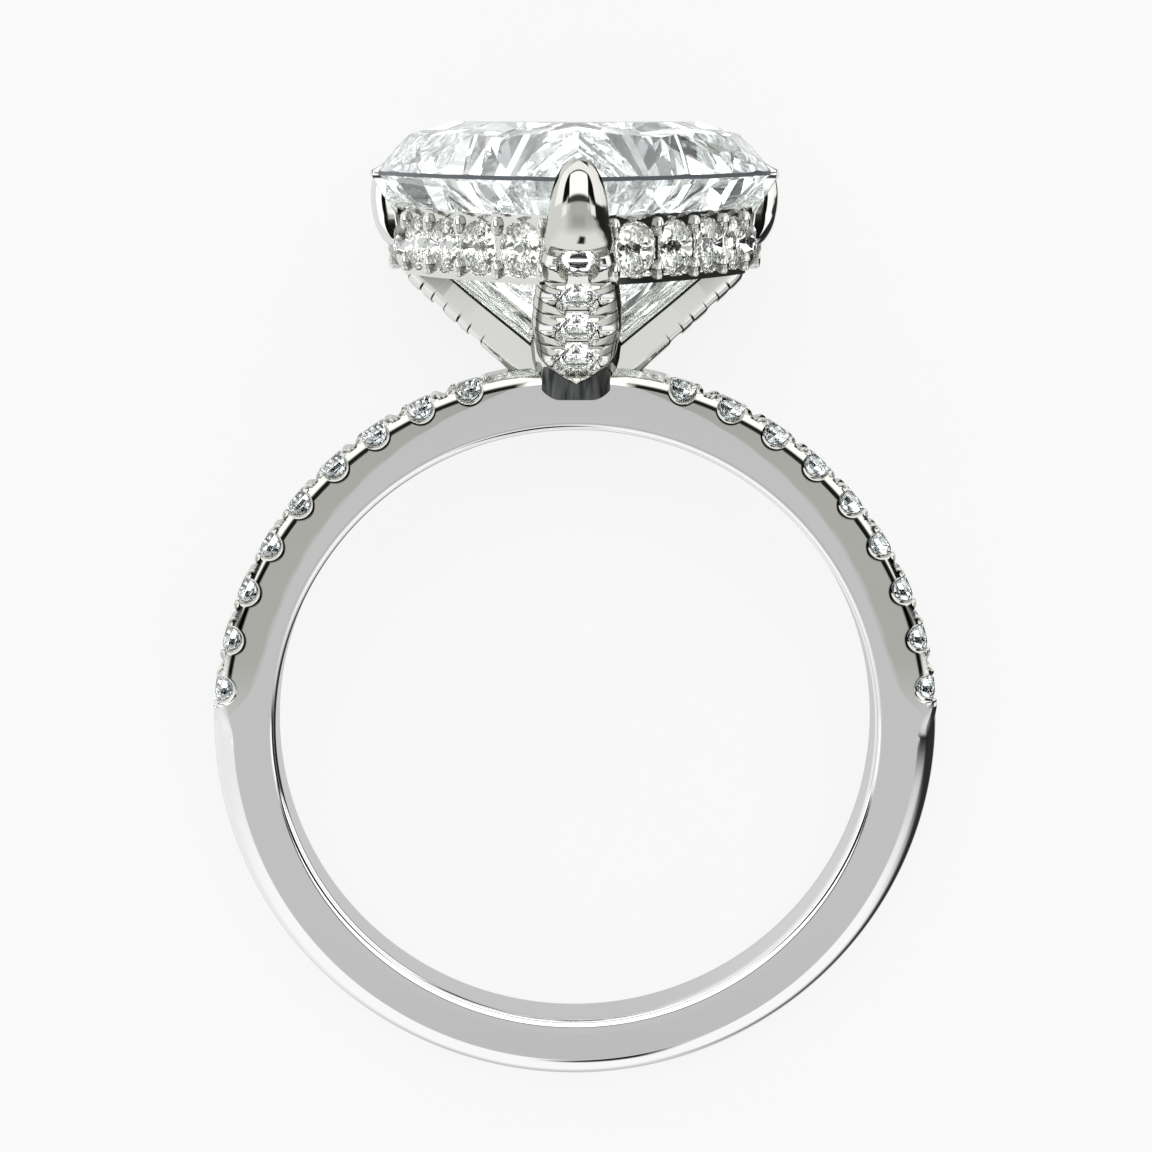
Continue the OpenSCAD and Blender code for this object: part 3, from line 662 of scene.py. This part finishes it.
def halo_band():
    """Closed strip round the heart: at each place on its outline the section runs up the outside,
    which is cut back to the stones by bright cuts but for a plain lip along its foot, over the rim
    and down the inside."""
    low_in = -math.sqrt((flank_r - BAND_IN) ** 2 - flank_x ** 2) + flank_y
    first = math.degrees(math.atan2(low_in - flank_y, -flank_x))
    last = 180 - math.degrees(math.acos(LOBE_X / (LOBE_R - BAND_IN)))
    dirs = np.concatenate([np.linspace(first, join_dir, 190),
                           np.linspace(join_dir, last, 170)[1:]])
    px, py = heart_edge(dirs, BAND_IN)
    nx, ny = np.cos(np.radians(dirs)), np.sin(np.radians(dirs))
    run = np.concatenate([[0], np.cumsum(np.hypot(np.diff(px), np.diff(py)))])
    stone_run = np.interp(HALO_DIRS, dirs, run)
    away = np.abs(run[:, None] - stone_run[None]).min(1)[:, None]
    half_h = (BAND_HIGH - BAND_LOW) / 2
    rows = [np.linspace(-1, -0.55, 12), np.linspace(-0.5, 0.5, 21), np.linspace(0.55, 1, 12)]
    h = np.concatenate(rows)[None] * half_h
    lip = np.where(h < 0, LIP, 0.0)
    from_rim = CUT_SLOPE * np.clip(half_h - np.abs(h) - lip, 0, None)
    from_bead = CUT_DEEP * (1 - np.clip(away / (HALO_PITCH / 2), 0, 1))
    depth = np.minimum(from_rim, from_bead) + LIP_LEAN * np.clip(lip - half_h + np.abs(h), 0, None)
    seat_r = HALO_D / 2 + 0.015
    rho = np.hypot(away, h)
    seat = np.where(rho < seat_r, 0.05 + (seat_r - rho) * 0.5, 0.05 - (rho - seat_r) * 3)
    depth = np.minimum(np.maximum(depth, seat), 0.33)
    many = len(dirs)
    inner_h = np.array([1.0, 0.9, 0.0, -0.9, -1.0]) * half_h
    section_d = np.hstack([-depth, np.full((many, 5), -BAND_T)])
    section_h = np.hstack([np.broadcast_to(h, depth.shape), np.broadcast_to(inner_h, (many, 5))])
    gx = px[:, None] + nx[:, None] * section_d
    gy = py[:, None] + ny[:, None] * section_d
    gz = HALO_Z + section_h
    # Behind a prong the band steps back, so that it stays inside the stem.
    for turn, (start, _, _) in PRONGS.values():
        if turn >= 0:
            way = (math.sin(math.radians(turn)), -math.cos(math.radians(turn)))
            line_r, line_z, _ = stem_line(claw_reach(turn), np.linspace(-1, 9, 400), start)
            limit = np.interp(gz, line_z, line_r) - 0.4
            along = gx * way[0] + gy * way[1]
            beside = np.abs(gx * way[1] - gy * way[0])
            within = beside < np.interp(gz, [11.4, 14.4], [1.1, 0.7])
            within = within & (gz < HEEL_Z + 0.25) & (along > limit)
            step = np.where(within, limit - along, 0)
            gx, gy = gx + way[0] * step, gy + way[1] * step
    right = np.stack([np.clip(gx, 0.0, None), gy, gz], -1)
    left = right[::-1][1:-1] * [-1, 1, 1]
    return np.concatenate([right, left])


# The band is painted a duller grey as shade.
band = surface("halo_band", halo_band(), GOLD, sharp=12, painted_shade=0.6)
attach(band, "root")
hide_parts("metal")


def beads():
    """Forty short posts with domed ends, oval in section, that stand out of the band: one grid of
    points for each, its rings from the root to the tip."""
    t = np.linspace(0, 2 * np.pi, BEAD_SIDES, endpoint=False)
    local = np.stack([np.broadcast_to(BEAD_OUT[:, None], (len(BEAD_OUT), BEAD_SIDES)),
                      BEAD_SHARE[:, None] * BEAD_ACROSS * np.cos(t),
                      BEAD_SHARE[:, None] * BEAD_UP * np.sin(t)], -1)
    made = []
    for direction in BEAD_DIRS:
        x, y = heart_edge(np.array(float(direction)), BAND_IN)
        c, s = math.cos(math.radians(direction)), math.sin(math.radians(direction))
        for rise in (-BEAD_RISE, BEAD_RISE):
            points = np.stack([x + c * local[..., 0] - s * local[..., 1],
                               y + s * local[..., 0] + c * local[..., 1],
                               HALO_Z + rise + local[..., 2]], -1)
            made += [points, points * [-1, 1, 1]]
    return made


bead_mesh = bpy.data.meshes.new("halo_beads")
bead_grids = beads()
cells = np.arange(len(BEAD_OUT) * BEAD_SIDES).reshape(-1, BEAD_SIDES)
cells = np.hstack([cells, cells[:, :1]])
quad = np.stack([cells[:-1, :-1], cells[1:, :-1], cells[1:, 1:], cells[:-1, 1:]], -1).reshape(-1, 4)
bead_quads = np.concatenate([quad + len(BEAD_OUT) * BEAD_SIDES * i for i in range(len(bead_grids))])
bead_points = np.concatenate([g.reshape(-1, 3) for g in bead_grids])
bead_mesh.from_pydata(laid(bead_points), [], bead_quads.tolist())
# The beads are painted the same duller grey as shade.
set_painted_shade(bead_mesh, 0.6)
bead_piece = finished("halo_beads", bead_mesh, GOLD, 50)
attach(bead_piece, "root")
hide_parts("metal")


# Stones. Diamonds, sawn and polished to flat facets: one heart brilliant under the five claws, and
# fifty round ones that beads and scallops hold in the band, the prongs and the shoulders.
# Strength of the heart's painted glow, and its index.
HEART_PAINTED_GLOW, HEART_INDEX = 0.038, 2.42
MELEE_INDEX = 2.0  # under a diamond's 2.42, matched to how bright the small stones look
# Painted shade on the shoulder stones: how far below the girdle it reaches its darkest grey.
SEAT_SHADE = 0.16  # how far below the girdle a shoulder stone reaches its darkest grey


def diamond(name, painted_glow, index):
    """Colourless diamond: a trace of cold, a mirror polish, and a high index that keeps most light
    in. Painted glow is a faint glow at every facet, though the stone is no lamp, that stands for
    light which crosses the stone unseen."""
    made = bpy.data.materials.new(name)
    made.use_nodes = True
    shader = made.node_tree.nodes["Principled BSDF"]
    shader.inputs["Emission Color"].default_value = linear("#f4fafc")
    shader.inputs["Emission Strength"].default_value = painted_glow
    shader.inputs["Base Color"].default_value = linear("#fbfeff")
    shader.inputs["Roughness"].default_value = 0.0
    shader.inputs["IOR"].default_value = index
    shader.inputs["Transmission Weight"].default_value = 1.0
    return made


def seat_shaded_diamond(low, high):
    """The same small diamond on a shoulder. Between two distances from the finger hole's axis, just
    below its girdle, it is painted a darker grey, painted shade where it stands in its seat."""
    made = diamond("seat_shaded_diamond", 0.0, MELEE_INDEX)
    tree = made.node_tree
    spot = node(tree, "TexCoord").outputs["Object"]
    arm = node(tree, "VectorMath", {"operation": "SUBTRACT"}, {0: spot})
    arm.inputs[1].default_value = RING_CENTRE
    along = []
    for line in (ring_x, ring_z):
        part = node(tree, "VectorMath", {"operation": "DOT_PRODUCT"}, {0: arm.outputs["Vector"]})
        part.inputs[1].default_value = line
        along.append(part.outputs["Value"])
    flat = node(tree, "CombineXYZ", None, {"X": along[0], "Y": along[1]})
    radius = node(tree, "VectorMath", {"operation": "LENGTH"}, {0: flat.outputs["Vector"]})
    height = node(tree, "MapRange", None, {"Value": radius.outputs["Value"]})
    height.inputs["From Min"].default_value = low * 0.001
    height.inputs["From Max"].default_value = high * 0.001
    tones = node(tree, "ValToRGB", None, {"Fac": height.outputs["Result"]})
    tones.color_ramp.elements[0].color = linear("#7c8387")
    tones.color_ramp.elements[1].color = linear("#fbfeff")
    tree.links.new(tones.outputs["Color"], tree.nodes["Principled BSDF"].inputs["Base Color"])
    return made


BIG_DIAMOND = diamond("heart_diamond", HEART_PAINTED_GLOW, HEART_INDEX)
SMALL_DIAMOND = diamond("melee_diamond", 0.0, MELEE_INDEX)
SEAT_SHADED_DIAMOND = seat_shaded_diamond(GIRDLE_R - SEAT_SHADE, GIRDLE_R)
for node_name, stone in frame["nodes"].items():
    if node_name != "metal":
        cut = BIG_DIAMOND if node_name == "heart_stone" else SMALL_DIAMOND
        if node_name.startswith(("left_stone", "right_stone")):
            cut = SEAT_SHADED_DIAMOND
        stone.data.materials.clear()
        stone.data.materials.append(cut)


# Girdle of the heart. The stone's sharpest edge is ground to a narrow matt belt, which looks like a
# dark line round it. The belt is the stone's own skin, drawn a few microns outside the solid.
BELT_LOW, BELT_HIGH = 15.075, 15.178
BELT_OUT, BELT_IN = 0.004, 0.02  # its skin outside the heart's edge, and its back inside it
tip_dir = math.degrees(math.atan2(-TIP_OUT - flank_y, -flank_x))
notch_dir = 180 - math.degrees(math.acos(LOBE_X / LOBE_R))
belt_dirs = np.concatenate([np.linspace(tip_dir, join_dir, 120),
                            np.linspace(join_dir, notch_dir, 90)[1:]])
belt_in = np.array([-BELT_OUT, -BELT_OUT, BELT_IN, BELT_IN])
belt_x, belt_y = heart_edge(belt_dirs[:, None], belt_in[None])
belt_z = np.broadcast_to([BELT_LOW, BELT_HIGH, BELT_HIGH, BELT_LOW], belt_x.shape)
belt_right = np.stack([np.clip(belt_x, 0, None), belt_y, belt_z], -1)
belt_grid = np.concatenate([belt_right, belt_right[::-1][1:-1] * [-1, 1, 1]])
# Diamond ground with grit and left unpolished: grey, with a soft sheen.
ground = bpy.data.materials.new("ground_girdle")
ground.use_nodes = True
ground.node_tree.nodes["Principled BSDF"].inputs["Base Color"].default_value = linear("#50565a")
ground.node_tree.nodes["Principled BSDF"].inputs["Roughness"].default_value = 0.35
belt = surface("heart_girdle", belt_grid, ground)
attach(belt, "root")


# Floor and light. The ring lies on a plain near-white sheet. Round it hangs one soft wrap of light
# with a bright box in front, a bright left side and a dark flag at the right.
FLOOR_HALF = 0.6  # metres
FLOOR_GLOW = 0.835
BASE_LIGHT = 0.62  # level of the soft wrap
SEEN_LIGHT = 0.93  # what the camera sees beyond the floor
DIMMING = 0.42  # share of the light that each mirror reflection after the first keeps
LAMP_CELLS = 2.6  # cells across the unit ball of directions
LAMP_LEVEL = 3.0
# From which share of the cells on they are lit, and how bright.
LAMP_STEPS = ((0.0, 0.0), (0.34, 0.1), (0.46, 0.3), (0.62, 1.0))

floor_mesh = bpy.data.meshes.new("floor")
corners = [(x * FLOOR_HALF, y * FLOOR_HALF, 0) for x, y in ((-1, -1), (1, -1), (1, 1), (-1, 1))]
floor_mesh.from_pydata(corners, [], [(0, 1, 2, 3)])
# White paper under studio light: even and without gloss. Its own glow stands for the light that it
# gets, and its dark base colour keeps the ring's shadow as faint as in the picture.
sheet = bpy.data.materials.new("white_paper")
sheet.use_nodes = True
paper = sheet.node_tree.nodes["Principled BSDF"]
paper.inputs["Base Color"].default_value = linear("#616161")
paper.inputs["Roughness"].default_value = 1.0
paper.inputs["Specular IOR Level"].default_value = 0.0
paper.inputs["Emission Color"].default_value = linear("#ffffff")
paper.inputs["Emission Strength"].default_value = FLOOR_GLOW
floor_mesh.materials.append(sheet)
floor = bpy.data.objects.new("floor", floor_mesh)
bpy.context.scene.collection.objects.link(floor)
# The metal's mirror reflections and the rays through the stones meet the studio below it instead.
floor.visible_glossy = False
floor.visible_transmission = False


def toward(azimuth, elevation):
    """Direction in the row frame of an azimuth, from the eye's side to the right, and a height."""
    az, el = math.radians(azimuth), math.radians(elevation)
    ring = np.array([math.sin(az) * math.cos(el), -math.cos(az) * math.cos(el), math.sin(el)])
    return ring @ RING_AXES


def studio(base, patches):
    """World light: a base level, then each patch mixed over it. A patch is a window of directions:
    azimuth, height, half-width and half-height in degrees, softness, level. Each mirror reflection
    after the first dims it, so that crevices look black. Every ray that has passed a stone meets,
    in place of the patches, a finer pattern of lit and unlit cells, as the many small lamps of a
    shop give."""
    world = bpy.data.worlds.new("studio")
    world.use_nodes = True
    tree = world.node_tree
    tree.nodes.clear()
    way = node(tree, "TexCoord").outputs["Generated"]
    level = node(tree, "Value").outputs[0]
    level.default_value = base
    for azimuth, elevation, half_w, half_h, soft, value in patches:
        axis = toward(azimuth, elevation)
        up = toward(azimuth, elevation + 90)
        right = np.cross(up, axis)
        masks = []
        ahead = node(tree, "VectorMath", {"operation": "DOT_PRODUCT"}, {0: way})
        ahead.inputs[1].default_value = axis
        for line, half in ((right, half_w), (up, half_h)):
            part = node(tree, "VectorMath", {"operation": "DOT_PRODUCT"}, {0: way})
            part.inputs[1].default_value = line
            turn = node(tree, "Math", {"operation": "ARCTAN2"},
                        {0: part.outputs["Value"], 1: ahead.outputs["Value"]})
            size = node(tree, "Math", {"operation": "ABSOLUTE"}, {0: turn.outputs[0]})
            mask = node(tree, "MapRange", {"interpolation_type": "SMOOTHSTEP"},
                        {"Value": size.outputs[0]})
            mask.inputs["From Min"].default_value = math.radians(half - soft / 2)
            mask.inputs["From Max"].default_value = math.radians(half + soft / 2)
            mask.inputs["To Min"].default_value = 1.0
            mask.inputs["To Max"].default_value = 0.0
            masks.append(mask.outputs["Result"])
        both = node(tree, "Math", {"operation": "MULTIPLY"}, {0: masks[0], 1: masks[1]})
        mixed = node(tree, "Mix", {"data_type": "FLOAT"}, {"Factor": both.outputs[0], "A": level})
        mixed.inputs["B"].default_value = value
        level = mixed.outputs["Result"]

    cells = node(tree, "TexVoronoi",
                 {"feature": "F1", "voronoi_dimensions": "3D", "Scale": LAMP_CELLS},
                 {"Vector": way})
    tone = node(tree, "SeparateColor", None, {"Color": cells.outputs["Color"]})
    steps = node(tree, "ValToRGB", None, {"Fac": tone.outputs["Red"]})
    steps.color_ramp.interpolation = "CONSTANT"
    stops = steps.color_ramp.elements
    for place, shade in LAMP_STEPS:
        stop = stops[0] if place == 0 else stops.new(place)
        stop.color = (shade, shade, shade, 1)
    stops.remove(stops[-1])
    lamp = node(tree, "Math", {"operation": "MULTIPLY", 1: LAMP_LEVEL}, {0: steps.outputs["Color"]})

    path = node(tree, "LightPath")
    again = node(tree, "Math", {"operation": "SUBTRACT", 1: 1.0}, {0: path.outputs["Glossy Depth"]})
    again = node(tree, "Math", {"operation": "MAXIMUM", 1: 0.0}, {0: again.outputs[0]})
    kept = node(tree, "Math", {"operation": "POWER", 0: DIMMING}, {1: again.outputs[0]})
    level = node(tree, "Math", {"operation": "MULTIPLY"}, {0: level, 1: kept.outputs[0]}).outputs[0]
    through = node(tree, "Math", {"operation": "GREATER_THAN", 1: 0.5},
                   {0: path.outputs["Transmission Depth"]})
    gem = node(tree, "Mix", {"data_type": "FLOAT"},
               {"Factor": through.outputs[0], "A": level, "B": lamp.outputs[0]})
    shown = node(tree, "Mix", {"data_type": "FLOAT"},
                 {"Factor": path.outputs["Is Camera Ray"], "A": gem.outputs["Result"]})
    shown.inputs["B"].default_value = SEEN_LIGHT
    glow = node(tree, "Background", None, {"Strength": shown.outputs["Result"]})
    glow.inputs["Color"].default_value = linear("#ffffff")
    node(tree, "OutputWorld", None, {"Surface": glow.outputs[0]})
    return world


bpy.context.scene.world = studio(BASE_LIGHT, [
    (-100, 0, 60, 60, 30, 0.95),  # bright wall at the left
    (122, -5, 32, 70, 14, 0.03),  # black flag at the right
    (78, -6, 24, 11, 8, 0.02),  # and a lower one nearer the eye
    (106, 25, 33, 23, 4, 1.2),  # box above the flag
    (0, 82, 60, 25, 12, 1.3),  # box overhead
    (0, 30, 68, 30, 3, 0.004),  # black surround of the front box
    (-87, 20, 19, 19, 3, 1.4),  # box at each side
    (87, 20, 19, 19, 3, 1.3),
    (-40, -4, 8, 6, 4, 0.9),  # lamp on each side of the eye
    (40, -4, 8, 6, 4, 0.9),
    (0, -27, 20, 8, 9, 0.5),  # grey card under the eye
    (0, -1, 44, 2.8, 1, 0.04),  # dark gap under the front box
    (0, 28, 42, 26, 3, 1.6),  # front box, above the eye
    (-54, -8, 9, 5, 3, 1.3),  # low lamp on each side
    (54, -8, 9, 5, 3, 1.3),
    (0, -80, 60, 40, 30, 1.1),  # glow of the table
    (14, -62, 7, 12, 7, 0.02),  # and a dark spot on it
])


# Camera. A long lens looks at the ring from a little above its front, turned slightly to the right,
# as the picture does. The eye is in ring millimetres, the focal length in pixels of the picture.
PITCH, YAW = math.radians(8.752), math.radians(0.8)
EYE = np.array([-1.153, -83.552, 17.006])
FOCAL_PX = 3068.55
PICTURE = 1152
SENSOR = 36
level_way = math.cos(PITCH)
ahead_ring = np.array([level_way * math.sin(YAW), level_way * math.cos(YAW), -math.sin(PITCH)])
side_ring = np.cross(ahead_ring, [0, 0, 1])
side_ring /= np.linalg.norm(side_ring)
up_ring = np.cross(side_ring, ahead_ring)
lens = bpy.data.cameras.new("camera")
lens.sensor_width = SENSOR
lens.lens = FOCAL_PX / PICTURE * SENSOR
lens.clip_start = 0.005
lens.clip_end = 5
camera = bpy.data.objects.new("camera", lens)
bpy.context.scene.collection.objects.link(camera)
turned = np.array([side_ring, up_ring, -ahead_ring]) @ RING_AXES
placed = Matrix.Identity(4)
for column in range(3):
    for line in range(3):
        placed[line][column] = turned[column][line]
placed.translation = Vector(laid(EYE))
camera.matrix_world = placed
bpy.context.scene.camera = camera

# Plain colours, and enough bounces for light to cross the stones.
bpy.context.scene.view_settings.view_transform = "Standard"
bpy.context.scene.cycles.max_bounces = 32
bpy.context.scene.cycles.transmission_bounces = 24
bpy.context.scene.cycles.glossy_bounces = 24
